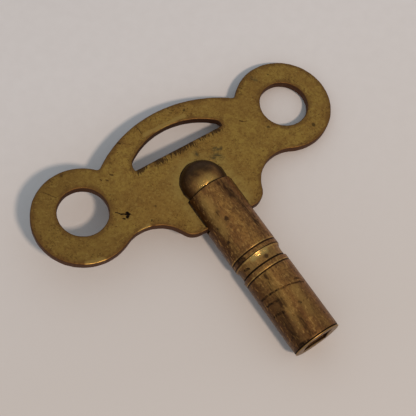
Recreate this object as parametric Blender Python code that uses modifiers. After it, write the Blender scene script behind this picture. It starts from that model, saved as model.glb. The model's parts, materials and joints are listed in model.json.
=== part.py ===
"""Winged winding key: a flat brass handle plate brazed into a turned, slotted brass barrel.

The key lies on a level surface, as it does when it is put down: the barrel touches along its
lower side, and the whole key is rolled about the barrel's axis until one wing touches too.
World frame: metres, +Z up, X along the wings, -Y towards the socket in the barrel's mouth.
The origin is on the surface, under the middle of the key's length.

Every piece is drawn in the key's own frame, which the empty "key_axis" carries: its origin is
on the barrel's axis, nearly level with the middle of the ring wings, its XY plane is the middle
of the plate, and its -Y runs down the barrel.
"""

from math import acos, asin, atan2, ceil, cos, hypot, pi, radians, sin, sqrt

import bmesh
import bpy
from mathutils import Matrix, Vector

MM = 0.001

# Handle plate, in the key's own frame. It is stamped a little unevenly: the right wing is the
# longer one, the left shoulder is the shorter one, the slot under the arch leans down to the
# right, and the left finger hole sits well out of the middle of its ring.
PLATE_THICKNESS = 1.6 * MM
PLATE_EDGE_ROUND = 0.3 * MM
RIGHT_RING_CENTRE = (21.25 * MM, 0.55 * MM)
LEFT_RING_CENTRE = (-20.85 * MM, 0.6 * MM)
RING_RADIUS = 8.85 * MM
RIGHT_HOLE_CENTRE = (21.45 * MM, 0.6 * MM)
LEFT_HOLE_CENTRE = (-20.55 * MM, 1.15 * MM)
HOLE_RADIUS = 4.35 * MM
ARCH_CENTRE_Y = -13.1 * MM
ARCH_RADIUS = 24.05 * MM
NOTCH_RADIUS = 0.6 * MM
FLANK_RADIUS = 6.65 * MM
RIGHT_SHOULDER_CENTRE = (5.45 * MM, -9.9 * MM)
LEFT_SHOULDER_CENTRE = (-5.45 * MM, -9.4 * MM)
SHOULDER_RADIUS = 3.0 * MM
SLOT_CENTRE_Y = -6.3 * MM
SLOT_RADIUS = 13.8 * MM
SLOT_FLOOR_Y = 2.92 * MM
RIGHT_SLOT_END_RADIUS = 1.2 * MM
LEFT_SLOT_END_RADIUS = 1.8 * MM
SLOT_END_RISE = 0.5 * MM
SLOT_LEAN = radians(1.2)

# Barrel: heights are along the key's own Y
DOME_RADIUS = 4.2 * MM
DOME_CENTRE_Y = -4.85 * MM
STEP_Y = -6.6 * MM
STEP_UNDERCUT = 0.2 * MM
UPPER_RADIUS = 4.4 * MM
RIM_CHAMFER = 0.15 * MM
UPPER_LINE_Y = -19.95 * MM
NECK_TOP_Y = -21.0 * MM
NECK_BOTTOM_Y = -23.1 * MM
NECK_RADIUS = 4.05 * MM
NECK_SLOPE = 0.2 * MM
LOWER_LINE_Y = -24.25 * MM
LOWER_RADIUS = 4.3 * MM
MOUTH_LINE_Y = -37.75 * MM
MOUTH_Y = -38.0 * MM
MOUTH_ROUND = 0.1 * MM
LINE_DEPTH = 0.12 * MM
LINE_HALF_WIDTH = 0.13 * MM

# Square socket and the drilled hole behind it
SOCKET_ACROSS_FLATS = 4.75 * MM
SOCKET_DEPTH = 13.5 * MM
SOCKET_LEAD_IN = 0.2 * MM
PILOT_RADIUS = 2.2 * MM
PILOT_DEPTH = 16.0 * MM
DRILL_POINT_ANGLE = radians(59.0)

# Brazed joint between plate and barrel
CLEARANCE = 0.3 * MM
BEAD_RADIUS = 0.25 * MM
BEAD_END_Y = -12.0 * MM

# Fineness of the round stretches
ARC_STEP = 1.1 * MM
ARC_ANGLE = radians(11.0)
TURN_STEPS = 48
CUT_MARGIN = 2.0 * MM

BRASS_PLATE = ((0.42, 0.29, 0.085), 0.36)
BRASS_BARREL = ((0.34, 0.22, 0.070), 0.40)
BRAZING_METAL = ((0.50, 0.42, 0.170), 0.45)


def clear_scene():
    """Start from an empty file."""
    for found in list(bpy.data.objects):
        bpy.data.objects.remove(found, do_unlink=True)


def new_collection(name):
    made = bpy.data.collections.new(name)
    bpy.context.scene.collection.children.link(made)
    return made


def metal(name, colour, roughness):
    """A plain metallic material in the piece's own colour."""
    made = bpy.data.materials.new(name)
    made.use_nodes = True
    shader = made.node_tree.nodes["Principled BSDF"]
    shader.inputs["Base Color"].default_value = (*colour, 1.0)
    shader.inputs["Metallic"].default_value = 1.0
    shader.inputs["Roughness"].default_value = roughness
    return made


# Plane geometry of the outlines


def arc(centre, radius, start, end):
    """Points along an arc, both ends included, from angle start to angle end."""
    sweep = abs(end - start)
    steps = max(ceil(radius * sweep / ARC_STEP), ceil(sweep / ARC_ANGLE), 2)
    angles = [start + (end - start) * i / steps for i in range(steps + 1)]
    return [(centre[0] + radius * cos(a), centre[1] + radius * sin(a)) for a in angles]


def direction(start, end):
    """Angle of the line from one point to another."""
    return atan2(end[1] - start[1], end[0] - start[0])


def circle_meeting(first, first_reach, second, second_reach, side):
    """The point at two given distances from two centres; side picks one of the two such points."""
    span = hypot(second[0] - first[0], second[1] - first[1])
    cosine = (first_reach**2 + span**2 - second_reach**2) / (2 * first_reach * span)
    angle = direction(first, second) + side * acos(cosine)
    return (first[0] + first_reach * cos(angle), first[1] + first_reach * sin(angle))


def mirrored(points):
    """The same points on the other side of the barrel's axis, in the opposite order."""
    return [(-x, y) for x, y in reversed(points)]


def without_repeats(points):
    """Drop a point that lies on the one before it, also where the loop closes."""
    kept = []
    for point in points:
        if not kept or hypot(point[0] - kept[-1][0], point[1] - kept[-1][1]) > 0.01 * MM:
            kept.append(point)
    if hypot(kept[0][0] - kept[-1][0], kept[0][1] - kept[-1][1]) <= 0.01 * MM:
        kept.pop()
    return kept


def half_outline(ring, shoulder):
    """One side of the plate, drawn as the right one, each stretch tangent to the next.

    It runs from the top of the arch through the notch, the ring wing and the hollow flank to the
    bottom of the rounded shoulder.
    """
    arch = (0.0, ARCH_CENTRE_Y)
    notch = circle_meeting(arch, ARCH_RADIUS + NOTCH_RADIUS, ring, RING_RADIUS + NOTCH_RADIUS, 1)
    flank = circle_meeting(
        ring, RING_RADIUS + FLANK_RADIUS, shoulder, SHOULDER_RADIUS + FLANK_RADIUS, 1
    )
    half = arc(arch, ARCH_RADIUS, pi / 2, direction(arch, notch))
    half += arc(notch, NOTCH_RADIUS, direction(notch, arch), direction(notch, ring))
    half += arc(ring, RING_RADIUS, direction(ring, notch), direction(ring, flank))
    half += arc(flank, FLANK_RADIUS, direction(flank, ring), direction(flank, shoulder))
    half += arc(shoulder, SHOULDER_RADIUS, direction(shoulder, flank), -pi / 2)
    return half


def plate_outline():
    left_ring, left_shoulder = mirrored([LEFT_SHOULDER_CENTRE, LEFT_RING_CENTRE])
    right = half_outline(RIGHT_RING_CENTRE, RIGHT_SHOULDER_CENTRE)
    left = mirrored(half_outline(left_ring, left_shoulder))
    return without_repeats(right + left)


def slot_half(end_radius):
    """One side of the slot: the arc, then the round end down to a sharp corner at the floor."""
    centre = (0.0, SLOT_CENTRE_Y)
    end_y = SLOT_FLOOR_Y + SLOT_END_RISE
    reach = SLOT_RADIUS - end_radius
    end = (sqrt(reach**2 - (end_y - SLOT_CENTRE_Y) ** 2), end_y)
    half = arc(centre, SLOT_RADIUS, pi / 2, direction(centre, end))
    half += arc(end, end_radius, direction(centre, end), -asin(SLOT_END_RISE / end_radius))
    return half


def slot_outline():
    """The D-shaped slot under the arch: a round top, two round ends and a straight floor."""
    right = slot_half(RIGHT_SLOT_END_RADIUS)
    left = mirrored(slot_half(LEFT_SLOT_END_RADIUS))
    loop = without_repeats(right + left)
    lean = Matrix.Rotation(-SLOT_LEAN, 2)
    middle = Vector((0.0, SLOT_FLOOR_Y))
    return [tuple(middle + lean @ (Vector(point) - middle)) for point in loop]


def finger_hole(centre):
    """The round hole of one ring wing."""
    return without_repeats(arc(centre, HOLE_RADIUS, 0.0, 2 * pi))


# Barrel profiles, as (radius, y) from the domed end to the mouth


def scribed_line(radius, y):
    """A fine V-shaped line turned into a round surface."""
    return [
        (radius, y + LINE_HALF_WIDTH),
        (radius - LINE_DEPTH, y),
        (radius, y - LINE_HALF_WIDTH),
    ]


def barrel_profile():
    dome = (0.0, DOME_CENTRE_Y)
    profile = arc(dome, DOME_RADIUS, pi / 2, 0.0)
    profile += [
        (DOME_RADIUS, STEP_Y + STEP_UNDERCUT),
        (DOME_RADIUS - STEP_UNDERCUT, STEP_Y),
        (UPPER_RADIUS - RIM_CHAMFER, STEP_Y),
        (UPPER_RADIUS, STEP_Y - RIM_CHAMFER),
    ]
    profile += scribed_line(UPPER_RADIUS, UPPER_LINE_Y)
    profile += [
        (UPPER_RADIUS, NECK_TOP_Y),
        (NECK_RADIUS, NECK_TOP_Y - NECK_SLOPE),
        (NECK_RADIUS, NECK_BOTTOM_Y),
        (UPPER_RADIUS, NECK_BOTTOM_Y - NECK_SLOPE),
    ]
    profile += scribed_line(LOWER_RADIUS, LOWER_LINE_Y)
    profile += scribed_line(LOWER_RADIUS, MOUTH_LINE_Y)
    corner = (LOWER_RADIUS - MOUTH_ROUND, MOUTH_Y + MOUTH_ROUND)
    profile += arc(corner, MOUTH_ROUND, 0.0, -pi / 2)
    profile.append((0.0, MOUTH_Y))
    profile[0] = (0.0, DOME_CENTRE_Y + DOME_RADIUS)
    return profile


def pilot_profile():
    """The drilled hole: a cone left by the drill's point, and a straight wall out past the mouth."""
    floor_y = MOUTH_Y + PILOT_DEPTH
    return [
        (0.0, floor_y + PILOT_RADIUS / sin(DRILL_POINT_ANGLE) * cos(DRILL_POINT_ANGLE)),
        (PILOT_RADIUS, floor_y),
        (PILOT_RADIUS, MOUTH_Y - CUT_MARGIN),
        (0.0, MOUTH_Y - CUT_MARGIN),
    ]


# Objects


def add_object(name, data, collection, axis, material=None):
    made = bpy.data.objects.new(name, data)
    collection.objects.link(made)
    made.parent = axis
    if material:
        made.data.materials.append(material)
    return made


def as_cutter(obj):
    obj.hide_render = True
    obj.display_type = "WIRE"
    return obj


def cut(obj, cutter):
    """Take the cutter's shape out of the object."""
    boolean = obj.modifiers.new("cut_" + cutter.name, "BOOLEAN")
    boolean.operation = "DIFFERENCE"
    boolean.solver = "EXACT"
    boolean.object = cutter


def turned(name, profile, collection, axis, material=None):
    """A round piece: its profile, turned about its own Z, which lies along the key's Y."""
    mesh = bpy.data.meshes.new(name)
    corners = [(radius, 0.0, y) for radius, y in profile]
    edges = [(i, i + 1) for i in range(len(corners) - 1)]
    mesh.from_pydata(corners, edges, [])
    made = add_object(name, mesh, collection, axis, material)
    made.rotation_euler = (-pi / 2, 0.0, 0.0)
    screw = made.modifiers.new("turn", "SCREW")
    screw.axis = "Z"
    screw.angle = 2 * pi
    screw.steps = TURN_STEPS
    screw.render_steps = TURN_STEPS
    screw.use_merge_vertices = True
    screw.merge_threshold = 0.00001
    screw.use_smooth_shade = True
    return made


def flat_plate(name, loops, thickness, collection, axis, material):
    """A flat stamping: its first loop is the outline and the others are holes."""
    curve = bpy.data.curves.new(name + "_outline", "CURVE")
    curve.dimensions = "2D"
    curve.fill_mode = "BOTH"
    curve.extrude = thickness / 2
    for loop in loops:
        spline = curve.splines.new("POLY")
        spline.points.add(len(loop) - 1)
        for point, (x, y) in zip(spline.points, loop):
            point.co = (x, y, 0.0, 1.0)
        spline.use_cyclic_u = True
    drawing = bpy.data.objects.new(name + "_outline", curve)
    collection.objects.link(drawing)
    bpy.context.view_layer.update()
    evaluated = drawing.evaluated_get(bpy.context.evaluated_depsgraph_get())
    mesh = bpy.data.meshes.new_from_object(evaluated)
    bpy.data.objects.remove(drawing, do_unlink=True)
    mesh.name = name
    shell = bmesh.new()
    shell.from_mesh(mesh)
    bmesh.ops.remove_doubles(shell, verts=shell.verts, dist=0.00001)
    bmesh.ops.recalc_face_normals(shell, faces=shell.faces)
    shell.to_mesh(mesh)
    shell.free()
    mesh.materials.clear()
    return add_object(name, mesh, collection, axis, material)


def box(name, low, high, collection, axis):
    """A block between two corners, given in the key's own frame."""
    mesh = bpy.data.meshes.new(name)
    shell = bmesh.new()
    size = Vector(high) - Vector(low)
    place = Matrix.Translation((Vector(high) + Vector(low)) / 2) @ Matrix.Diagonal((*size, 1.0))
    bmesh.ops.create_cube(shell, size=1.0, matrix=place)
    shell.to_mesh(mesh)
    shell.free()
    return add_object(name, mesh, collection, axis)


def bead(name, face_side, collection, axis, material):
    """A bead of brazing metal round the dome and down both sides of the barrel, on one face."""
    height = PLATE_THICKNESS / 2 + CLEARANCE + BEAD_RADIUS
    offset = CLEARANCE + BEAD_RADIUS
    beside_barrel = sqrt(UPPER_RADIUS**2 - height**2) + offset
    round_dome = sqrt(DOME_RADIUS**2 - height**2) + offset
    half = arc((0.0, DOME_CENTRE_Y), round_dome, pi / 2, 0.0)
    half += [(round_dome, STEP_Y + offset), (beside_barrel, STEP_Y), (beside_barrel, BEAD_END_Y)]
    path = [(-x, y) for x, y in reversed(half[1:])] + half
    curve = bpy.data.curves.new(name, "CURVE")
    curve.dimensions = "3D"
    curve.bevel_depth = BEAD_RADIUS
    curve.bevel_resolution = 1
    curve.use_fill_caps = True
    spline = curve.splines.new("POLY")
    spline.points.add(len(path) - 1)
    for point, (x, y) in zip(spline.points, path):
        point.co = (x, y, face_side * height, 1.0)
    return add_object(name, curve, collection, axis, material)


# Pieces


def make_handle_plate(parts, axis):
    holes = [finger_hole(RIGHT_HOLE_CENTRE), finger_hole(LEFT_HOLE_CENTRE)]
    loops = [plate_outline(), slot_outline(), *holes]
    plate = flat_plate(
        "handle_plate", loops, PLATE_THICKNESS, parts, axis, metal("plate_brass", *BRASS_PLATE)
    )
    edge = plate.modifiers.new("edge_round", "BEVEL")
    edge.width = PLATE_EDGE_ROUND
    edge.segments = 2
    edge.limit_method = "ANGLE"
    edge.angle_limit = radians(60.0)
    plate.data.shade_smooth()
    plate.data.set_sharp_from_angle(angle=radians(30.0))


def make_barrel(parts, cutters, axis):
    barrel = turned(
        "barrel", barrel_profile(), parts, axis, metal("barrel_brass", *BRASS_BARREL)
    )
    slot_floor_y = RIGHT_SHOULDER_CENTRE[1] - SHOULDER_RADIUS - CLEARANCE
    half_gap = PLATE_THICKNESS / 2 + CLEARANCE
    half_width = UPPER_RADIUS + CUT_MARGIN
    plate_slot = box(
        "plate_slot", (-half_width, slot_floor_y, -half_gap),
        (half_width, CUT_MARGIN, half_gap), cutters, axis,
    )
    half_flat = SOCKET_ACROSS_FLATS / 2
    socket = box(
        "square_socket", (-half_flat, MOUTH_Y - CUT_MARGIN, -half_flat),
        (half_flat, MOUTH_Y + SOCKET_DEPTH, half_flat), cutters, axis,
    )
    pilot = turned("pilot_hole", pilot_profile(), cutters, axis)
    lead_in_radius = half_flat + SOCKET_LEAD_IN
    lead_in = turned(
        "lead_in",
        [
            (0.0, MOUTH_Y + lead_in_radius),
            (lead_in_radius + CUT_MARGIN, MOUTH_Y - CUT_MARGIN),
            (0.0, MOUTH_Y - CUT_MARGIN),
        ],
        cutters, axis,
    )
    for cutter in (plate_slot, socket, pilot, lead_in):
        cut(barrel, as_cutter(cutter))


def make_braze_seams(parts, axis):
    material = metal("brazing_metal", *BRAZING_METAL)
    bead("braze_seam_front", 1, parts, axis, material)
    bead("braze_seam_back", -1, parts, axis, material)


def resting_roll():
    """Roll about the barrel's axis at which the rounded lower edge of the +X wing touches down."""
    reach = RIGHT_RING_CENTRE[0] + RING_RADIUS - PLATE_EDGE_ROUND
    drop = PLATE_THICKNESS / 2 - PLATE_EDGE_ROUND
    height = UPPER_RADIUS - PLATE_EDGE_ROUND
    return asin(height / hypot(reach, drop)) - atan2(drop, reach)


def main():
    clear_scene()
    parts = new_collection("string_winder")
    cutters = new_collection("cutters")
    axis = bpy.data.objects.new("key_axis", None)
    parts.objects.link(axis)
    arch_top_y = ARCH_CENTRE_Y + ARCH_RADIUS
    roll = resting_roll()
    uneven_reach = (RIGHT_RING_CENTRE[0] + LEFT_RING_CENTRE[0]) / 2
    axis.location = (-uneven_reach * cos(roll), -(arch_top_y + MOUTH_Y) / 2, UPPER_RADIUS)
    axis.rotation_euler = (0.0, roll, 0.0)
    make_handle_plate(parts, axis)
    make_barrel(parts, cutters, axis)
    make_braze_seams(parts, axis)
    bpy.context.view_layer.update()


main()
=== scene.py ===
"""The looks of a winged brass winding key: aged plate, turned and patinated barrel, braze fillets.

Every piece is made in the key's own frame, which is the CAD model's: metres, origin on the
barrel's axis, X along the wings, -Y down the barrel, Z square to the handle plate. The key frame
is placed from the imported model: the roll from the plate's mounts and the place from the barrel.
"""

import json
from math import acos, asin, atan2, ceil, cos, hypot, pi, radians, sin, sqrt, tan

import bmesh
import bpy
import numpy as np
from mathutils import Matrix, Vector, geometry, noise


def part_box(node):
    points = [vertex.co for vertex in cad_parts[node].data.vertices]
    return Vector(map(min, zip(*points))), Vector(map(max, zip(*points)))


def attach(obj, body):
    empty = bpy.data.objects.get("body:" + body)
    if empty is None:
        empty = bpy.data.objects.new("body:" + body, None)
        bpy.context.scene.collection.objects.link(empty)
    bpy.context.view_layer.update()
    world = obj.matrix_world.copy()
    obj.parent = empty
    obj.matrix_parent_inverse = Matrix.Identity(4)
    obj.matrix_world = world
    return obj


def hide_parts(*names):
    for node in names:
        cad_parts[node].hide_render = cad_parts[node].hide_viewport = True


MM = 0.001

# Handle plate, as in the CAD model, with its rims a little crisper
PLATE_THICKNESS = 1.6 * MM
EDGE_ROUND = 0.2 * MM
RIGHT_RING = (21.25 * MM, 0.55 * MM)
LEFT_RING = (-20.85 * MM, 0.6 * MM)
RING_RADIUS = 8.85 * MM
RIGHT_HOLE = (21.45 * MM, 0.6 * MM)
LEFT_HOLE = (-20.55 * MM, 1.15 * MM)
HOLE_RADIUS = 4.35 * MM
ARCH_CENTRE_Y = -13.1 * MM
ARCH_RADIUS = 24.05 * MM
NOTCH_RADIUS = 0.6 * MM
FLANK_RADIUS = 6.65 * MM
RIGHT_SHOULDER = (5.45 * MM, -9.9 * MM)
LEFT_SHOULDER = (-5.45 * MM, -9.4 * MM)
SHOULDER_RADIUS = 3.0 * MM
SLOT_CENTRE_Y = -6.3 * MM
SLOT_RADIUS = 13.8 * MM
SLOT_FLOOR_Y = 2.92 * MM
RIGHT_SLOT_END_RADIUS = 1.2 * MM
LEFT_SLOT_END_RADIUS = 1.8 * MM
SLOT_END_RISE = 0.5 * MM
SLOT_LEAN = radians(1.2)

# Barrel, as in the CAD model: heights are along the key's own Y. The domed end is turned as a
# ball that narrows again to the step, and the neck starts with a hollow.
DOME_RADIUS = 4.2 * MM
DOME_CENTRE_Y = -4.85 * MM
STEP_Y = -6.6 * MM
STEP_GAP = 0.1 * MM
UPPER_RADIUS = 4.4 * MM
UPPER_LINE_Y = -19.95 * MM
NECK_TOP_Y = -21.0 * MM
NECK_BOTTOM_Y = -23.1 * MM
NECK_RADIUS = 4.05 * MM
NECK_SLOPE = 0.2 * MM
NECK_HOLLOW = 1.0 * MM
LOWER_LINE_Y = -24.25 * MM
LOWER_RADIUS = 4.3 * MM
MOUTH_LINE_Y = -37.75 * MM
MOUTH_Y = -38.0 * MM
MOUTH_ROUND = 0.1 * MM
LINE_DEPTH = 0.12 * MM
LINE_HALF_WIDTH = 0.13 * MM
LINE_FLOOR_HALF = 0.03 * MM
SOCKET_ACROSS_FLATS = 4.75 * MM
SOCKET_DEPTH = 13.5 * MM
SOCKET_LEAD_IN = 0.2 * MM
PILOT_RADIUS = 2.2 * MM
PILOT_DEPTH = 16.0 * MM
DRILL_POINT_ANGLE = radians(59.0)

NECK_GROOVE_DEPTH = 0.12 * MM
NECK_GROOVE_HALF = 0.04 * MM
TURNED_EASE = 0.06 * MM

# Joint between plate and barrel
JOINT_FIT = 0.02 * MM
FILLET_END_Y = -12.0 * MM
FILLET_SINK = 0.05 * MM
FILLET_INSIDE = 0.15 * MM
FILLET_STEPS = 6

# Unevenness, in millimetres: the fillets' legs, how far the rims are rubbed back, and how far
# the faces dip
FILLET_LEG = 0.24
FILLET_SWELL = 0.09
FILLET_GRAIN = 0.04
RUB_MEAN = 0.03
RUB_SWING = 0.03
RUB_FINE = 0.012
DIP_MEAN = 0.012
DIP_SWING = 0.012
DIP_RIPPLE = 0.0025

# Fineness of the meshes
ARC_STEP = 0.22 * MM
CAP_STEP = 0.5 * MM
SEAM_STEP = 0.3 * MM
CAP_MARGIN = 0.3 * MM
SAME_POINT = 0.01 * MM
ROUND_STEPS = 6
TURN_STEPS = 144

# Colours, as linear values: the plate, the barrel, the fillets and the floor
PLATE_BROWN = (0.355, 0.186, 0.042)
PLATE_OLIVE = (0.415, 0.236, 0.050)
PLATE_MOTTLE = (0.27, 0.128, 0.030)
PLATE_LEFT_SHADE = (0.21, 0.115, 0.028)
PLATE_GRAIN = (0.165, 0.080, 0.022)
PLATE_PALE = (0.50, 0.31, 0.08)
BRAZE_HALO = (0.43, 0.275, 0.075)
PLATE_SPECKLE = (0.085, 0.042, 0.014)
PLATE_SPOT = (0.05, 0.027, 0.011)
RIM_BROWN = (0.17, 0.076, 0.023)
RIM_DARK = (0.10, 0.043, 0.016)
RIM_RUBBED_HIGHLIGHT = (0.46, 0.27, 0.07)
EDGE_BROWN = (0.105, 0.046, 0.024)
FILE_MARK = (0.05, 0.026, 0.012)
NICK_BROWN = (0.06, 0.03, 0.012)
CRACK_BLACK = (0.008, 0.005, 0.004)
STAIN_BROWN = (0.11, 0.075, 0.030)
SCRATCH_BROWN = (0.11, 0.06, 0.02)
BARREL_GOLD = (0.415, 0.197, 0.050)
BARREL_BROWN = (0.30, 0.129, 0.037)
BARREL_CLOUD = (0.27, 0.115, 0.036)
BARREL_STREAK = (0.15, 0.062, 0.023)
BARREL_MOTTLE = (0.14, 0.056, 0.021)
BARREL_GRAIN = (0.10, 0.042, 0.017)
BARREL_OLIVE = (0.49, 0.265, 0.068)
NECK_OLIVE = (0.34, 0.19, 0.055)
LOWER_BROWN = (0.13, 0.055, 0.02)
SIDE_SHADE_BROWN = (0.055, 0.026, 0.012)
BARREL_SPECKLE = (0.045, 0.021, 0.011)
BARREL_SPOT = (0.028, 0.014, 0.009)
BARREL_PALE = (0.56, 0.30, 0.085)
BAND_BLACK = (0.045, 0.021, 0.010)
MARK_BLACK = (0.012, 0.007, 0.005)
DOME_BROWN = (0.19, 0.085, 0.026)
DOME_DARK_AND_SHADE = (0.030, 0.017, 0.010)
DOME_HIGHLIGHT_GOLD = (0.62, 0.35, 0.09)
BURR_GOLD_AND_HIGHLIGHT = (0.56, 0.34, 0.10)
LIP_GOLD = (0.46, 0.27, 0.075)
END_FACE_BROWN = (0.17, 0.095, 0.035)
DIRT_AND_SHADE_BLACK = (0.018, 0.010, 0.007)
BRAZE_BROWN = (0.10, 0.055, 0.022)
BRAZE_DARK = (0.035, 0.019, 0.010)
PAPER_DARK = (0.66, 0.605, 0.57)
PAPER_PALE = (0.68, 0.625, 0.59)
PAPER_WARM = (0.615, 0.55, 0.50)

# Camera, light and floor
CAMERA_PLACE = Vector((-42.87, -44.57, 172.9)) * MM
CAMERA_AIM = Vector((-0.91, 5.92, 0.0)) * MM
CAMERA_ROLL = radians(5.62)
CAMERA_LENS = 91.2
KEY_LIGHT_FROM = Vector((0.03, -0.66, 1.0))
KEY_LIGHT_DISTANCE = 0.8
KEY_LIGHT_SIZE = 0.085
KEY_LIGHT_POWER = 3.15
KEY_LIGHT_COLOUR = (1.0, 0.83, 0.69)
SKY_COLOUR = (0.78, 0.89, 1.0, 1.0)
SKY_STRENGTH = 0.566
FLOOR_SIZE = 2.0


def key_frame():
    """Place and roll about Y of the key's own frame in the world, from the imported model."""
    normal = next(m["axis"] for m in frame["record"]["mounts"] if m["name"] == "handle_front")
    low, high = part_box("barrel")
    place = Vector(((low.x + high.x) / 2, low.y - MOUTH_Y, (low.z + high.z) / 2))
    return place, asin(normal[0])


# Plane geometry of the outlines


def arc(centre, radius, start, end, step=ARC_STEP):
    """Points along an arc, both ends included, from angle start to angle end."""
    steps = max(ceil(radius * abs(end - start) / step), 2)
    angles = [start + (end - start) * i / steps for i in range(steps + 1)]
    return [(centre[0] + radius * cos(a), centre[1] + radius * sin(a)) for a in angles]


def direction(start, end):
    return atan2(end[1] - start[1], end[0] - start[0])


def circle_meeting(first, first_reach, second, second_reach):
    """The left-hand point at two given distances from two centres."""
    span = hypot(second[0] - first[0], second[1] - first[1])
    cosine = (first_reach**2 + span**2 - second_reach**2) / (2 * first_reach * span)
    angle = direction(first, second) + acos(cosine)
    return (first[0] + first_reach * cos(angle), first[1] + first_reach * sin(angle))


def mirrored(points):
    return [(-x, y) for x, y in reversed(points)]


def without_repeats(points):
    kept = []
    for point in points:
        if not kept or hypot(point[0] - kept[-1][0], point[1] - kept[-1][1]) > SAME_POINT:
            kept.append(point)
    if hypot(kept[0][0] - kept[-1][0], kept[0][1] - kept[-1][1]) <= SAME_POINT:
        kept.pop()
    return kept


def line_points(start, end):
    """Points along a straight stretch, without its two ends."""
    steps = ceil(hypot(end[0] - start[0], end[1] - start[1]) / ARC_STEP)
    shares = [i / steps for i in range(1, steps)]
    return [(start[0] + (end[0] - start[0]) * s, start[1] + (end[1] - start[1]) * s) for s in shares]


def half_outline(ring, shoulder):
    """Arch, notch, ring wing, hollow flank and rounded shoulder, drawn as the right side."""
    arch = (0.0, ARCH_CENTRE_Y)
    notch = circle_meeting(arch, ARCH_RADIUS + NOTCH_RADIUS, ring, RING_RADIUS + NOTCH_RADIUS)
    flank = circle_meeting(
        ring, RING_RADIUS + FLANK_RADIUS, shoulder, SHOULDER_RADIUS + FLANK_RADIUS
    )
    half = arc(arch, ARCH_RADIUS, pi / 2, direction(arch, notch))
    half += arc(notch, NOTCH_RADIUS, direction(notch, arch), direction(notch, ring))
    half += arc(ring, RING_RADIUS, direction(ring, notch), direction(ring, flank))
    half += arc(flank, FLANK_RADIUS, direction(flank, ring), direction(flank, shoulder))
    half += arc(shoulder, SHOULDER_RADIUS, direction(shoulder, flank), -pi / 2)
    return half


def plate_outline():
    left_ring, left_shoulder = mirrored([LEFT_SHOULDER, LEFT_RING])
    right = half_outline(RIGHT_RING, RIGHT_SHOULDER)
    left = mirrored(half_outline(left_ring, left_shoulder))
    return without_repeats(right + line_points(right[-1], left[0]) + left)


def slot_half(end_radius):
    """One side of the slot: the arc, then the round end down to a sharp corner at the floor."""
    centre = (0.0, SLOT_CENTRE_Y)
    end_y = SLOT_FLOOR_Y + SLOT_END_RISE
    reach = SLOT_RADIUS - end_radius
    end = (sqrt(reach**2 - (end_y - SLOT_CENTRE_Y) ** 2), end_y)
    half = arc(centre, SLOT_RADIUS, pi / 2, direction(centre, end))
    half += arc(end, end_radius, direction(centre, end), -asin(SLOT_END_RISE / end_radius))
    return half


def slot_outline():
    right = slot_half(RIGHT_SLOT_END_RADIUS)
    left = mirrored(slot_half(LEFT_SLOT_END_RADIUS))
    loop = without_repeats(right + line_points(right[-1], left[0]) + left)
    lean = Matrix.Rotation(-SLOT_LEAN, 2)
    middle = Vector((0.0, SLOT_FLOOR_Y))
    return [tuple(middle + lean @ (Vector(point) - middle)) for point in loop]


def finger_hole(centre):
    return without_repeats(arc(centre, HOLE_RADIUS, 0.0, 2 * pi))


def inside(points, loop):
    """Which of the points lie inside a closed loop, by counting crossings."""
    x, y = points[:, 0], points[:, 1]
    found = np.zeros(len(points), bool)
    for (x0, y0), (x1, y1) in zip(loop, np.roll(loop, -1, axis=0)):
        if y0 == y1:
            continue
        crosses = (y0 > y) != (y1 > y)
        found ^= crosses & (x < (x1 - x0) * (y - y0) / (y1 - y0) + x0)
    return found


def into_metal(loop, is_outline):
    """Unit normals of a loop that point into the plate."""
    along = np.roll(loop, -1, axis=0) - np.roll(loop, 1, axis=0)
    along /= np.linalg.norm(along, axis=1)[:, None]
    normals = np.stack([along[:, 1], -along[:, 0]], axis=1)
    area = np.sum(loop[:, 0] * np.roll(loop[:, 1], -1) - np.roll(loop[:, 0], -1) * loop[:, 1])
    turn = 1.0 if area > 0 else -1.0
    return -normals * turn if is_outline else normals * turn


def worn_loop(points, is_outline, seed):
    """A loop with its slightly uneven, hand-rubbed edge, and its normals into the metal."""
    loop = np.array(points)
    normals = into_metal(loop, is_outline)
    wear = []
    for x, y in loop:
        rough = noise.noise(Vector((x / MM * 0.9, y / MM * 0.9, seed)))
        fine = noise.noise(Vector((x / MM * 3.0, y / MM * 3.0, seed + 7.0)))
        wear.append(RUB_MEAN + RUB_SWING * rough + RUB_FINE * fine)
    return loop + normals * np.array(wear)[:, None] * MM, normals


# Meshes


def link(name, mesh):
    """An object whose mesh, drawn in the key's own frame, is moved to its place in the world."""
    mesh.transform(Matrix.Translation(KEY_PLACE) @ Matrix.Rotation(KEY_ROLL, 4, "Y"))
    made = bpy.data.objects.new(name, mesh)
    bpy.context.scene.collection.objects.link(made)
    return made


def cap_points(loops):
    """An even spread of points inside the plate's faces, well clear of their edges."""
    outline, holes = loops[0], loops[1:]
    low, high = outline.min(axis=0), outline.max(axis=0)
    rows = np.arange(low[1], high[1], CAP_STEP * sqrt(3) / 2)
    grid = []
    for i, y in enumerate(rows):
        shift = CAP_STEP / 2 if i % 2 else 0.0
        grid += [(x + shift, y) for x in np.arange(low[0], high[0], CAP_STEP)]
    grid = np.array(grid)
    keep = inside(grid, outline)
    for hole in holes:
        keep &= ~inside(grid, hole)
    grid = grid[keep]
    gap = edge_distance(grid, loops)
    return grid[gap > CAP_MARGIN]


def edge_distance(points, loops):
    """Distance from each point to the nearest point of any loop."""
    every = np.concatenate(loops)
    gaps = [np.min(np.hypot(*(every - point).T)) for point in points]
    return np.array(gaps)


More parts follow.
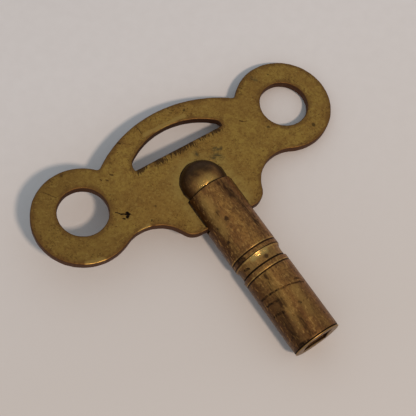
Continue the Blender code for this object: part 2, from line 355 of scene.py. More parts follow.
def make_plate():
    """The stamped plate: two fine faces, rounded rims and upright edges."""
    shapes = [plate_outline(), slot_outline(), finger_hole(RIGHT_HOLE), finger_hole(LEFT_HOLE)]
    worn = [worn_loop(shape, i == 0, 3.0 * i) for i, shape in enumerate(shapes)]
    rims = [loop + normals * EDGE_ROUND for loop, normals in worn]
    interior = cap_points(rims)
    flat = np.concatenate([*rims, interior])
    edges, start = [], 0
    for rim in rims:
        edges += [(start + i, start + (i + 1) % len(rim)) for i in range(len(rim))]
        start += len(rim)
    made = geometry.delaunay_2d_cdt([Vector(p) for p in flat], edges, [], 0, 1e-9)
    corners = np.array([tuple(p) for p in made[0]])
    middles = np.array([corners[list(face)].mean(axis=0) for face in made[2]])
    keep = inside(middles, rims[0])
    for rim in rims[1:]:
        keep &= ~inside(middles, rim)
    faces = [face for face, kept in zip(made[2], keep) if kept]
    gaps = edge_distance(corners, [loop for loop, _ in worn])

    shell = bmesh.new()
    distance = shell.verts.layers.float.new("edge_distance")

    def add(x, y, z, gap):
        vert = shell.verts.new((x, y, z))
        vert[distance] = gap / MM
        return vert

    caps = {}
    for side in (1, -1):
        caps[side] = []
        for (x, y), gap in zip(corners, gaps):
            swell = noise.noise(Vector((x / MM * 0.16, y / MM * 0.16, 11.0 * side)))
            ripple = noise.noise(Vector((x / MM * 0.8, y / MM * 0.8, 5.0 * side)))
            settle = min(max((gap - EDGE_ROUND) / (1.0 * MM), 0.0), 1.0)
            dip = (DIP_MEAN + DIP_SWING * swell + DIP_RIPPLE * ripple) * settle * MM
            caps[side].append(add(x, y, side * (PLATE_THICKNESS / 2 - dip), gap))
        for face in faces:
            shell.faces.new([caps[side][i] for i in (face if side > 0 else reversed(face))])
    start = 0
    for loop, normals in worn:
        count = len(loop)
        rows = [[caps[1][start + i] for i in range(count)]]
        sections = []
        for step in range(1, ROUND_STEPS + 1):
            angle = pi / 2 * step / ROUND_STEPS
            sections.append((EDGE_ROUND * (1 - sin(angle)), EDGE_ROUND * (1 - cos(angle))))
        upper = [(inset, PLATE_THICKNESS / 2 - drop) for inset, drop in sections]
        lower = [(inset, -z) for inset, z in reversed(upper)]
        for inset, z in [*upper, (0.0, 0.0), *lower]:
            ring = loop + normals * inset
            rows.append([add(x, y, z, inset) for x, y in ring])
        rows.append([caps[-1][start + i] for i in range(count)])
        for above, below in zip(rows, rows[1:]):
            for i in range(count):
                j = (i + 1) % count
                shell.faces.new([above[i], above[j], below[j], below[i]])
        start += count
    loose = [v for v in shell.verts if not v.link_faces]
    bmesh.ops.delete(shell, geom=loose, context="VERTS")
    bmesh.ops.recalc_face_normals(shell, faces=shell.faces)
    mesh = bpy.data.meshes.new("handle")
    shell.to_mesh(mesh)
    shell.free()
    mesh.shade_smooth()
    return link("handle", mesh)


def rounded(corners, radius, steps=3):
    """A profile whose inner corners are eased by a small radius."""
    eased = [corners[0]]
    for before, corner, after in zip(corners, corners[1:], corners[2:]):
        back = Vector(before) - Vector(corner)
        ahead = Vector(after) - Vector(corner)
        if back.length < 1e-7 or ahead.length < 1e-7 or back.angle(-ahead) < radians(25):
            eased.append(corner)
            continue
        reach = min(radius, back.length * 0.45, ahead.length * 0.45)
        start = Vector(corner) + back.normalized() * reach
        end = Vector(corner) + ahead.normalized() * reach
        for i in range(steps + 1):
            t = i / steps
            point = start * (1 - t) ** 2 + Vector(corner) * 2 * t * (1 - t) + end * t**2
            eased.append(tuple(point))
    eased.append(corners[-1])
    return eased


def scribed_line(radius, y):
    """A fine turned line with a narrow flat floor."""
    return [
        (radius, y + LINE_HALF_WIDTH),
        (radius - LINE_DEPTH, y + LINE_FLOOR_HALF),
        (radius - LINE_DEPTH, y - LINE_FLOOR_HALF),
        (radius, y - LINE_HALF_WIDTH),
    ]


def stretch(radius, top, bottom, step=0.8 * MM):
    """Rings down a straight stretch of the barrel."""
    count = max(ceil((top - bottom) / step), 1)
    return [(radius, top + (bottom - top) * i / count) for i in range(1, count)]


def barrel_profile():
    """(radius, y) from the top of the dome to the middle of the mouth."""
    under_ball = asin((DOME_CENTRE_Y - STEP_Y - STEP_GAP) / DOME_RADIUS)
    dome = arc((0.0, DOME_CENTRE_Y), DOME_RADIUS, pi / 2, -under_ball, 0.25 * MM)
    turned_part = [
        (dome[-1][0] - STEP_GAP, STEP_Y),
        (UPPER_RADIUS, STEP_Y),
        *stretch(UPPER_RADIUS, STEP_Y, UPPER_LINE_Y + LINE_HALF_WIDTH),
        *scribed_line(UPPER_RADIUS, UPPER_LINE_Y),
        (UPPER_RADIUS, NECK_TOP_Y),
        (NECK_RADIUS + 0.04 * MM, NECK_TOP_Y - 0.5 * NECK_HOLLOW),
        (NECK_RADIUS, NECK_TOP_Y - NECK_HOLLOW),
        *stretch(NECK_RADIUS, NECK_TOP_Y - NECK_HOLLOW, NECK_BOTTOM_Y + NECK_SLOPE),
        (NECK_RADIUS, NECK_BOTTOM_Y + NECK_GROOVE_DEPTH),
        (NECK_RADIUS - NECK_GROOVE_DEPTH, NECK_BOTTOM_Y + NECK_GROOVE_HALF),
        (NECK_RADIUS - NECK_GROOVE_DEPTH, NECK_BOTTOM_Y - NECK_GROOVE_HALF),
        (LOWER_RADIUS, NECK_BOTTOM_Y - NECK_SLOPE),
        *scribed_line(LOWER_RADIUS, LOWER_LINE_Y),
        *stretch(LOWER_RADIUS, LOWER_LINE_Y - LINE_HALF_WIDTH, MOUTH_LINE_Y + LINE_HALF_WIDTH),
        *scribed_line(LOWER_RADIUS, MOUTH_LINE_Y),
    ]
    corner = (LOWER_RADIUS - MOUTH_ROUND, MOUTH_Y + MOUTH_ROUND)
    lip = arc(corner, MOUTH_ROUND, 0.0, -pi / 2, 0.1 * MM)
    eased = rounded([dome[-1], *turned_part, lip[0]], TURNED_EASE)
    profile = without_repeats([*dome[:-1], *eased, *lip[1:], (0.0, MOUTH_Y)])
    profile[0] = (0.0, DOME_CENTRE_Y + DOME_RADIUS)
    profile[-1] = (0.0, MOUTH_Y)
    return profile


def lathe(profile, steps=TURN_STEPS):
    """A closed turned shell about the key's Y; its profile starts and ends on the axis."""
    shell = bmesh.new()
    rings = []
    for radius, y in profile[1:-1]:
        angles = [2 * pi * i / steps for i in range(steps)]
        rings.append([shell.verts.new((radius * sin(a), y, radius * cos(a))) for a in angles])
    first = shell.verts.new((0.0, profile[0][1], 0.0))
    last = shell.verts.new((0.0, profile[-1][1], 0.0))
    for i in range(steps):
        j = (i + 1) % steps
        shell.faces.new([first, rings[0][i], rings[0][j]])
        shell.faces.new([last, rings[-1][j], rings[-1][i]])
        for above, below in zip(rings, rings[1:]):
            shell.faces.new([above[i], below[i], below[j], above[j]])
    bmesh.ops.recalc_face_normals(shell, faces=shell.faces)
    return shell


def to_object(name, shell):
    mesh = bpy.data.meshes.new(name)
    shell.to_mesh(mesh)
    shell.free()
    return link(name, mesh)


def block(name, low, high):
    shell = bmesh.new()
    size = Vector(high) - Vector(low)
    place = Matrix.Translation((Vector(high) + Vector(low)) / 2) @ Matrix.Diagonal((*size, 1.0))
    bmesh.ops.create_cube(shell, size=1.0, matrix=place)
    return to_object(name, shell)


def cut(obj, cutters):
    """Take the cutters' shapes out of the object for good."""
    for cutter in cutters:
        boolean = obj.modifiers.new("cut", "BOOLEAN")
        boolean.operation = "DIFFERENCE"
        boolean.solver = "EXACT"
        boolean.object = cutter
    bpy.context.view_layer.update()
    evaluated = obj.evaluated_get(bpy.context.evaluated_depsgraph_get())
    mesh = bpy.data.meshes.new_from_object(evaluated)
    obj.modifiers.clear()
    obj.data = mesh
    for cutter in cutters:
        bpy.data.objects.remove(cutter, do_unlink=True)


def make_barrel():
    """The turned barrel with its slot for the plate, its square socket and the drilled hole."""
    barrel = to_object("turned_barrel", lathe(barrel_profile()))
    margin = 2.0 * MM
    half_gap = PLATE_THICKNESS / 2 + JOINT_FIT
    slot_floor_y = RIGHT_SHOULDER[1] - SHOULDER_RADIUS - JOINT_FIT
    half_width = UPPER_RADIUS + margin
    plate_slot = block(
        "plate_slot", (-half_width, slot_floor_y, -half_gap), (half_width, margin, half_gap)
    )
    half_flat = SOCKET_ACROSS_FLATS / 2
    socket = block(
        "socket", (-half_flat, MOUTH_Y - margin, -half_flat),
        (half_flat, MOUTH_Y + SOCKET_DEPTH, half_flat),
    )
    floor_y = MOUTH_Y + PILOT_DEPTH
    pilot = to_object("pilot", lathe([
        (0.0, floor_y + PILOT_RADIUS / tan(DRILL_POINT_ANGLE)),
        (PILOT_RADIUS, floor_y),
        (PILOT_RADIUS, MOUTH_Y - margin),
        (0.0, MOUTH_Y - margin),
    ], 64))
    lead_in_radius = half_flat + SOCKET_LEAD_IN
    lead_in = to_object("lead_in", lathe([
        (0.0, MOUTH_Y + lead_in_radius),
        (lead_in_radius + margin, MOUTH_Y - margin),
        (0.0, MOUTH_Y - margin),
    ], 96))
    cut(barrel, [plate_slot, socket, pilot, lead_in])
    barrel.data.shade_smooth()
    barrel.data.set_sharp_from_angle(angle=radians(40.0))
    return barrel


def seam_path():
    """The line where the plate's face meets the barrel, with its normals away from the barrel."""
    height = PLATE_THICKNESS / 2
    round_dome = sqrt(DOME_RADIUS**2 - height**2)
    beside = sqrt(UPPER_RADIUS**2 - height**2)
    dome = arc((0.0, DOME_CENTRE_Y), round_dome, pi / 2, 0.0)
    half = [(x, y, x / round_dome, (y - DOME_CENTRE_Y) / round_dome) for x, y in dome]
    for y in np.arange(DOME_CENTRE_Y, STEP_Y, -SEAM_STEP)[1:]:
        half.append((sqrt(round_dome**2 - (DOME_CENTRE_Y - y) ** 2), y, 1.0, 0.0))
    half += [(beside, y, 1.0, 0.0) for y in np.arange(STEP_Y, FILLET_END_Y, -SEAM_STEP)]
    left = [(-x, y, -nx, ny) for x, y, nx, ny in reversed(half[1:])]
    return left + half


def make_fillet(name, side):
    """A thin hollow fillet of brazing metal between one face of the plate and the barrel."""
    shell = bmesh.new()
    rows = []
    for x, y, nx, ny in seam_path():
        swell = noise.noise(Vector((x / MM * 0.9, y / MM * 0.9, 4.0 * side)))
        grain = noise.noise(Vector((x / MM * 2.6, y / MM * 2.6, 9.0 * side)))
        leg = (FILLET_LEG + FILLET_SWELL * swell + FILLET_GRAIN * grain) * MM
        face = PLATE_THICKNESS / 2 - JOINT_FIT
        row = []
        for i in range(FILLET_STEPS + 1):
            angle = pi / 2 * i / FILLET_STEPS
            out = leg * (1 - cos(angle)) + JOINT_FIT
            up = leg * (1 - sin(angle))
            row.append((x + nx * out, y + ny * out, side * (face + up)))
        toe = leg + JOINT_FIT
        sunk = side * (PLATE_THICKNESS / 2 - FILLET_SINK)
        inner = (x - nx * FILLET_INSIDE, y - ny * FILLET_INSIDE)
        row.append((x + nx * toe, y + ny * toe, sunk))
        row.append((*inner, sunk))
        row.append((*inner, side * (face + leg)))
        rows.append([shell.verts.new(point) for point in row])
    width = len(rows[0])
    for first, second in zip(rows, rows[1:]):
        for i in range(width):
            j = (i + 1) % width
            shell.faces.new([first[i], first[j], second[j], second[i]])
    shell.faces.new(rows[0])
    shell.faces.new(rows[-1])
    bmesh.ops.recalc_face_normals(shell, faces=shell.faces)
    made = to_object(name, shell)
    made.data.shade_smooth()
    made.data.set_sharp_from_angle(angle=radians(50.0))
    return made


# Materials


class Nodes:
    """A node material in the making. Positions are in the key's own frame, in millimetres."""

    def __init__(self, name):
        self.material = bpy.data.materials.new(name)
        self.material.use_nodes = True
        self.tree = self.material.node_tree
        self.shader = self.tree.nodes["Principled BSDF"]
        texture = self.tree.nodes.new("ShaderNodeTexCoord")
        in_key = self.into_key_frame(texture.outputs["Object"], KEY_PLACE)
        self.place = self.vector_math("SCALE", in_key, scale=1 / MM)
        self.normal = self.into_key_frame(texture.outputs["Normal"], (0.0, 0.0, 0.0))

    def into_key_frame(self, vector, origin):
        made = self.tree.nodes.new("ShaderNodeMapping")
        made.vector_type = "TEXTURE"
        self.put(made.inputs["Vector"], vector)
        made.inputs["Location"].default_value = origin
        made.inputs["Rotation"].default_value = (0.0, KEY_ROLL, 0.0)
        return made.outputs[0]

    def part(self, vector, axis):
        """One coordinate of a vector."""
        made = self.tree.nodes.new("ShaderNodeSeparateXYZ")
        self.put(made.inputs[0], vector)
        return made.outputs[axis]

    def put(self, socket, value):
        if isinstance(value, bpy.types.NodeSocket):
            self.tree.links.new(value, socket)
        elif isinstance(value, tuple) and len(value) == 3 and len(socket.default_value) == 4:
            socket.default_value = (*value, 1.0)
        else:
            socket.default_value = value

    def math(self, operation, first, second=0.0, third=0.0, clamp=False):
        made = self.tree.nodes.new("ShaderNodeMath")
        made.operation = operation
        made.use_clamp = clamp
        for socket, value in zip(made.inputs, (first, second, third)):
            self.put(socket, value)
        return made.outputs[0]

    def vector_math(self, operation, first, second=None, scale=None):
        made = self.tree.nodes.new("ShaderNodeVectorMath")
        made.operation = operation
        self.put(made.inputs[0], first)
        if second is not None:
            self.put(made.inputs[1], second)
        if scale is not None:
            made.inputs["Scale"].default_value = scale
        return made.outputs["Value" if operation in ("LENGTH", "DOT_PRODUCT") else "Vector"]

    def stretched(self, factors, turn=0.0, offset=(0.0, 0.0, 0.0), vector=None):
        """The position turned about Z, then scaled along each axis and shifted."""
        turned = self.tree.nodes.new("ShaderNodeMapping")
        turned.inputs["Rotation"].default_value = (0.0, 0.0, turn)
        self.put(turned.inputs["Vector"], vector or self.place)
        scaled = self.tree.nodes.new("ShaderNodeMapping")
        scaled.inputs["Scale"].default_value = factors
        scaled.inputs["Location"].default_value = offset
        self.put(scaled.inputs["Vector"], turned.outputs[0])
        return scaled.outputs[0]

    def noise(self, vector, scale=1.0, detail=3.0, roughness=0.55, distortion=0.0):
        made = self.tree.nodes.new("ShaderNodeTexNoise")
        self.put(made.inputs["Vector"], vector)
        made.inputs["Scale"].default_value = scale
        made.inputs["Detail"].default_value = detail
        made.inputs["Roughness"].default_value = roughness
        made.inputs["Distortion"].default_value = distortion
        return made.outputs["Fac"]

    def spread(self, value, low, high, out_low=0.0, out_high=1.0, smooth=True):
        """value from low..high to out_low..out_high, held at the ends."""
        made = self.tree.nodes.new("ShaderNodeMapRange")
        made.interpolation_type = "SMOOTHSTEP" if smooth else "LINEAR"
        for socket, number in zip(made.inputs, (value, low, high, out_low, out_high)):
            self.put(socket, number)
        return made.outputs[0]

    def mix(self, share, first, second, blend="MIX"):
        made = self.tree.nodes.new("ShaderNodeMix")
        made.data_type = "RGBA"
        made.blend_type = blend
        self.put(made.inputs["Factor"], share)
        self.put(made.inputs["A"], first)
        self.put(made.inputs["B"], second)
        return made.outputs["Result"]

    def most(self, *values):
        """The largest of several masks."""
        found = values[0]
        for value in values[1:]:
            found = self.math("MAXIMUM", found, value)
        return found

    def wobbled(self, size, scale, vector=None):
        """A position, shaken a little so that drawn marks get ragged edges."""
        made = self.tree.nodes.new("ShaderNodeTexNoise")
        self.put(made.inputs["Vector"], self.place)
        made.inputs["Scale"].default_value = scale
        made.inputs["Detail"].default_value = 2.0
        centred = self.vector_math("SUBTRACT", made.outputs["Color"], (0.5, 0.5, 0.5))
        shake = self.vector_math("SCALE", centred, scale=size)
        return self.vector_math("ADD", vector or self.place, shake)

    def stroke(self, vector, start, end, width, soft=0.6):
        """A mask that is 1 along a straight stroke and falls to 0 at its width."""
        start, end = Vector(start), Vector(end)
        length = (end - start).length
        from_start = self.vector_math("SUBTRACT", vector, tuple(start))
        if start == end:
            gap = self.vector_math("LENGTH", from_start)
        else:
            ahead = (end - start) / length
            along = self.vector_math("DOT_PRODUCT", from_start, tuple(ahead))
            held = self.math("MINIMUM", self.math("MAXIMUM", along, 0.0), length)
            path = self.tree.nodes.new("ShaderNodeVectorMath")
            path.operation = "SCALE"
            path.inputs[0].default_value = tuple(ahead)
            self.put(path.inputs["Scale"], held)
            gap = self.vector_math(
                "LENGTH", self.vector_math("SUBTRACT", from_start, path.outputs[0])
            )
        return self.spread(gap, width * (1 - soft), width, 1.0, 0.0)

    def specks(self, scale, size, vector=None, rarity=0.5):
        """A mask of small round specks of random size, some left out."""
        made = self.tree.nodes.new("ShaderNodeTexVoronoi")
        self.put(made.inputs["Vector"], vector or self.place)
        made.inputs["Scale"].default_value = scale
        parts = self.tree.nodes.new("ShaderNodeSeparateColor")
        self.put(parts.inputs[0], made.outputs["Color"])
        reach = self.math("MULTIPLY", parts.outputs[0], size)
        gap = self.math("DIVIDE", made.outputs["Distance"], self.math("MAXIMUM", reach, 0.001))
        spot = self.spread(gap, 0.5, 1.0, 1.0, 0.0)
        return self.math("MULTIPLY", spot, self.math("GREATER_THAN", parts.outputs[1], rarity))

    def attribute(self, name):
        made = self.tree.nodes.new("ShaderNodeAttribute")
        made.attribute_name = name
        return made.outputs["Fac"]

    def bump(self, height, depth, under=None):
        """Relief of the given depth in millimetres, over other relief."""
        made = self.tree.nodes.new("ShaderNodeBump")
        made.inputs["Strength"].default_value = 1.0
        made.inputs["Distance"].default_value = depth * MM
        self.put(made.inputs["Height"], height)
        if under is not None:
            self.put(made.inputs["Normal"], under)
        return made.outputs[0]

    def finish(self, colour, roughness, normal, metallic=1.0):
        self.put(self.shader.inputs["Base Color"], colour)
        self.put(self.shader.inputs["Roughness"], roughness)
        self.put(self.shader.inputs["Metallic"], metallic)
        self.put(self.shader.inputs["Normal"], normal)
        return self.material


def grain_and_mottle(nodes):
    """Fine grain, middling mottle and broad cloud, each from 0 to 1."""
    grain = nodes.noise(nodes.place, 2.1, 5.0, 0.7)
    mottle = nodes.noise(nodes.place, 0.75, 4.0, 0.6, 0.3)
    cloud = nodes.noise(nodes.place, 0.14, 3.0, 0.5, 0.4)
    return grain, mottle, cloud


# Marks on the plate's front: (start, end, half width), in millimetres
CRACK = (
    ((-16.0, -1.7), (-15.3, -2.5), 0.12),
    ((-15.3, -2.5), (-14.3, -3.1), 0.19),
    ((-14.35, -2.75), (-14.2, -3.2), 0.30),
    ((-14.75, -3.5), (-14.55, -3.35), 0.34),
    ((-15.5, -3.35), (-15.3, -3.6), 0.17),
    ((-16.6, -1.0), (-16.9, -0.4), 0.08),
)
NICKS = (
    ((12.5, 1.8), (12.8, 1.5), 0.22),
    ((12.8, 1.5), (13.9, 1.0), 0.09),
    ((-12.9, 4.7), (-12.6, 4.4), 0.22),
    ((-14.9, 4.8), (-14.8, 4.5), 0.16),
    ((-14.1, 4.2), (-13.9, 3.9), 0.18),
    ((12.5, -5.2), (12.5, -5.2), 0.20),
    ((13.0, -3.6), (13.0, -3.6), 0.15),
    ((-24.3, 7.6), (-22.9, 5.6), 0.09),
    ((-25.6, 1.6), (-23.9, 1.2), 0.08),
    ((15.3, 7.6), (16.1, 6.6), 0.11),
    ((15.9, 8.1), (16.6, 7.0), 0.10),
    ((-8.9, 9.5), (-6.4, 7.4), 0.08),
    ((-8.8, 9.6), (-8.3, 8.8), 0.20),
    ((-4.0, 10.6), (-4.0, 8.6), 0.09),
)
STAINS = (
    ((1.9, 0.7), (2.1, 0.3), 0.85),
    ((4.5, -1.5), (5.3, -2.2), 0.95),
    ((5.3, -0.7), (6.3, -1.0), 0.6),
    ((19.6, 7.9), (20.0, 7.5), 0.7),
)
# Stretches of the rim that are worn bright and painted brighter as highlights where the key light
# glints: (start, end, half width)
RUBBED_HIGHLIGHTS = (
    ((-24.6, -7.2), (-22.4, -7.9), 0.9),
    ((-3.6, 8.1), (4.4, 7.8), 0.6),
    ((-9.0, -12.0), (-7.6, -12.4), 0.8),
    ((8.2, -12.0), (9.4, -11.2), 0.7),
    ((-14.4, -6.9), (-12.6, -6.6), 0.6),
)


def on_plate(mark, depth=0.0):
    """A mark on the plate's front as a stroke in space, at a depth under the face."""
    start, end, half_width = mark
    level = PLATE_THICKNESS / MM / 2 - depth
    return (*start, level), (*end, level), half_width


def plate_material():
    """Olive-gold sheet brass: speckled face, dark brown rims and edges, a pale halo by the braze."""
    nodes = Nodes("aged_plate_brass")
    grain, mottle, cloud = grain_and_mottle(nodes)
    place = nodes.place
    across = nodes.part(place, "X")
    edge = nodes.attribute("edge_distance")
    upright = nodes.math("ABSOLUTE", nodes.part(nodes.normal, "Z"))
    wall = nodes.spread(upright, 0.25, 0.8, 1.0, 0.0)

    colour = nodes.mix(nodes.spread(cloud, 0.35, 0.68), PLATE_BROWN, PLATE_OLIVE)
    colour = nodes.mix(nodes.spread(mottle, 0.38, 0.66, 0.0, 0.6), colour, PLATE_MOTTLE)
    # painted shade: the plate is darkened towards the end of its left wing
    left_side_shade = nodes.spread(across, -22.0, -9.0, 0.5, 0.0)
    colour = nodes.mix(left_side_shade, colour, PLATE_LEFT_SHADE)
    colour = nodes.mix(nodes.spread(grain, 0.46, 0.62, 0.0, 0.42), colour, PLATE_GRAIN)
    pale_grain = nodes.noise(nodes.stretched((1.7, 2.1, 1.8), 0.5, (3.0, 1.0, 0.0)), 1.0, 4.0, 0.7)
    colour = nodes.mix(nodes.spread(pale_grain, 0.52, 0.68, 0.0, 0.36), colour, PLATE_PALE)

    # brazing heat left the metal beside the barrel pale and greenish
    ragged = nodes.wobbled(1.6, 0.7)
    foot = (0.0, DOME_CENTRE_Y / MM, 0.0)
    halo = nodes.stroke(ragged, foot, (0.0, -14.0, 0.0), 7.4, 0.45)
    halo = nodes.math("MULTIPLY", halo, nodes.spread(mottle, 0.25, 0.7, 0.7, 0.2))
    colour = nodes.mix(halo, colour, BRAZE_HALO)

    # dark speckle, denser in some places than in others
    thick = nodes.noise(nodes.place, 0.35, 2.0)
    speckle = nodes.noise(nodes.stretched((1.0, 1.0, 1.0), 0.0, (7.0, 3.0, 0.0)), 3.0, 5.0, 0.8)
    level = nodes.spread(thick, 0.3, 0.7, 0.645, 0.56, smooth=False)
    near_rim = nodes.spread(edge, 0.3, 2.4, 0.05, 0.0)
    level = nodes.math("SUBTRACT", level, near_rim)
    specks = nodes.spread(nodes.math("SUBTRACT", speckle, level), 0.0, 0.04)
    spots = nodes.specks(0.55, 0.26, nodes.wobbled(0.55, 2.2), 0.62)
    colour = nodes.mix(nodes.math("MULTIPLY", specks, 0.66), colour, PLATE_SPECKLE)
    colour = nodes.mix(nodes.math("MULTIPLY", spots, 0.75), colour, PLATE_SPOT)

    # browned rims
    rim_break = nodes.math("MULTIPLY_ADD", mottle, 2.2, -0.35)
    rim = nodes.spread(nodes.math("DIVIDE", edge, rim_break), 0.2, 1.3, 0.7, 0.0)
    colour = nodes.mix(rim, colour, RIM_BROWN)
    turned_down = nodes.spread(edge, 0.02, 0.17, 0.85, 0.0)
    shaken_rim = nodes.wobbled(0.5, 0.9)
    # worn rims with painted highlight: gold, and no dark rim, where the rounded rim glints
    rubbed_highlight = nodes.most(*[nodes.stroke(shaken_rim, *on_plate(mark, 0.2)) for mark in RUBBED_HIGHLIGHTS])
    kept_dark = nodes.math("SUBTRACT", 1.0, rubbed_highlight)
    turned_down = nodes.math("MULTIPLY", turned_down, kept_dark)
    colour = nodes.mix(turned_down, colour, RIM_DARK)
    colour = nodes.mix(nodes.math("MULTIPLY", rubbed_highlight, 0.7), colour, RIM_RUBBED_HIGHLIGHT)
    colour = nodes.mix(nodes.math("MULTIPLY", wall, 0.93), colour, EDGE_BROWN)

    # file marks under the slot
    shaken = nodes.wobbled(0.3, 1.6)
    hatch = nodes.noise(nodes.stretched((4.2, 0.75, 0.3), radians(14)), 1.0, 4.0, 0.7, 0.3)
    lean = nodes.math("MULTIPLY_ADD", across, tan(SLOT_LEAN), nodes.part(place, "Y"))
    below = nodes.math("SUBTRACT", SLOT_FLOOR_Y / MM, lean)
    band = nodes.math(
        "MULTIPLY", nodes.spread(below, 0.3, 2.0, 1.0, 0.0),
        nodes.spread(nodes.math("ABSOLUTE", across), 8.5, 10.0, 1.0, 0.0),
    )
    band = nodes.math("MULTIPLY", band, nodes.math("GREATER_THAN", below, -0.6))
    patchy = nodes.spread(nodes.noise(nodes.place, 0.42, 2.0), 0.36, 0.56)
    band = nodes.math("MULTIPLY", band, nodes.math("MULTIPLY_ADD", patchy, 0.8, 0.2))
    reach = nodes.math("MULTIPLY_ADD", band, -0.27, 0.66)
    over = nodes.math("SUBTRACT", hatch, reach)
    hatching = nodes.math(
        "MULTIPLY", nodes.spread(over, 0.0, 0.06), nodes.math("GREATER_THAN", band, 0.01)
    )
    colour = nodes.mix(nodes.math("MULTIPLY", hatching, 0.85), colour, FILE_MARK)

    marks = nodes.most(*[nodes.stroke(shaken, *on_plate(mark)) for mark in CRACK + NICKS])
    torn = nodes.wobbled(0.5, 1.8)
    crack = nodes.most(*[nodes.stroke(torn, *on_plate(mark)) for mark in CRACK])
    colour = nodes.mix(nodes.math("MULTIPLY", marks, 0.8), colour, NICK_BROWN)
    colour = nodes.mix(crack, colour, CRACK_BLACK)
    stain = nodes.most(*[nodes.stroke(ragged, *on_plate(mark), 0.8) for mark in STAINS])
    stain = nodes.math("MULTIPLY", stain, nodes.spread(pale_grain, 0.42, 0.60, 0.95, 0.25))
    colour = nodes.mix(stain, colour, STAIN_BROWN)

    # faint scratches in three directions, broken up
    scratches = []
    for turn, shift in ((0.3, 1.0), (1.25, 5.0), (-0.7, 9.0)):
        line = nodes.noise(nodes.stretched((0.22, 7.0, 1.0), turn, (0.0, shift, 0.0)), 1.0, 2.0)
        scratches.append(nodes.spread(line, 0.66, 0.72))
    scratch = nodes.math("MULTIPLY", nodes.most(*scratches), nodes.spread(mottle, 0.45, 0.6))
    colour = nodes.mix(nodes.math("MULTIPLY", scratch, 0.35), colour, SCRATCH_BROWN)

    # relief
    relief = nodes.bump(mottle, 0.03)
    relief = nodes.bump(grain, 0.02, relief)
    dug = nodes.math("SUBTRACT", 1.0, nodes.most(scratch, specks, hatching, marks))
    relief = nodes.bump(dug, 0.014, relief)
    rough = nodes.spread(grain, 0.3, 0.75, 0.40, 0.54)
    dull = nodes.most(specks, hatching, marks, turned_down, wall)
    rough = nodes.math("MULTIPLY_ADD", dull, 0.2, rough)
    rough = nodes.math("MULTIPLY_ADD", rubbed_highlight, -0.1, rough)
    return nodes.finish(colour, rough, relief)


# Marks on the barrel: (angle, y) of start and end and half width, in degrees and millimetres.
# The angle runs from the plate's front towards +X.
DARK_MARKS = (
    ((-76, -27.7), (-45, -27.85), 0.26),
    ((-45, -27.85), (-5, -28.3), 0.26),
    ((-5, -28.3), (43, -29.1), 0.20),
    ((24, -28.0), (33, -28.2), 0.26),
    ((-72, -29.1), (-38, -29.4), 0.28),
    ((-74, -31.1), (-42, -31.6), 0.28),
    ((-15, -37.2), (-15, -37.2), 0.27),
    ((38, -19.3), (38, -19.3), 0.26),
    ((-62, -20.4), (-46, -20.6), 0.50),
    ((-66, -22.0), (-52, -22.3), 0.30),
    ((-62, -37.5), (-36, -37.6), 0.50),
)
DARK_BANDS = (
    ((-52, -31.0), (-58, -37.5), 1.3),
    ((-20, -33.0), (-24, -37.0), 0.9),
    ((14, -7.4), (30, -13.0), 1.3),
    ((30, -13.0), (34, -18.5), 1.0),
    ((-34, -11.4), (-37, -12.4), 0.8),
    ((-30, -25.0), (-38, -30.5), 1.2),
)
OLIVE_BANDS = (
    ((-40, -8.8), (-46, -14.5), 1.6),
    ((-26, -24.6), (-30, -34.5), 1.3),
    ((8, -29.5), (4, -34.0), 1.2),
)
# Painted highlights: gold where the key light glints beside the dome's step and in the neck's hollow
DOME_GLEAM = ((-20, -6.4), (-2, -6.3), 2.3)
NECK_GLEAM = ((-30, -21.35), (6, -21.35), 0.8)


def unrolled(mark):
    """A barrel mark laid out flat: distance round the barrel, then y."""
    (start_angle, start_y), (end_angle, end_y), width = mark
    reach = LOWER_RADIUS / MM
    start = (radians(start_angle) * reach, start_y, 0.0)
    end = (radians(end_angle) * reach, end_y, 0.0)
    return start, end, width


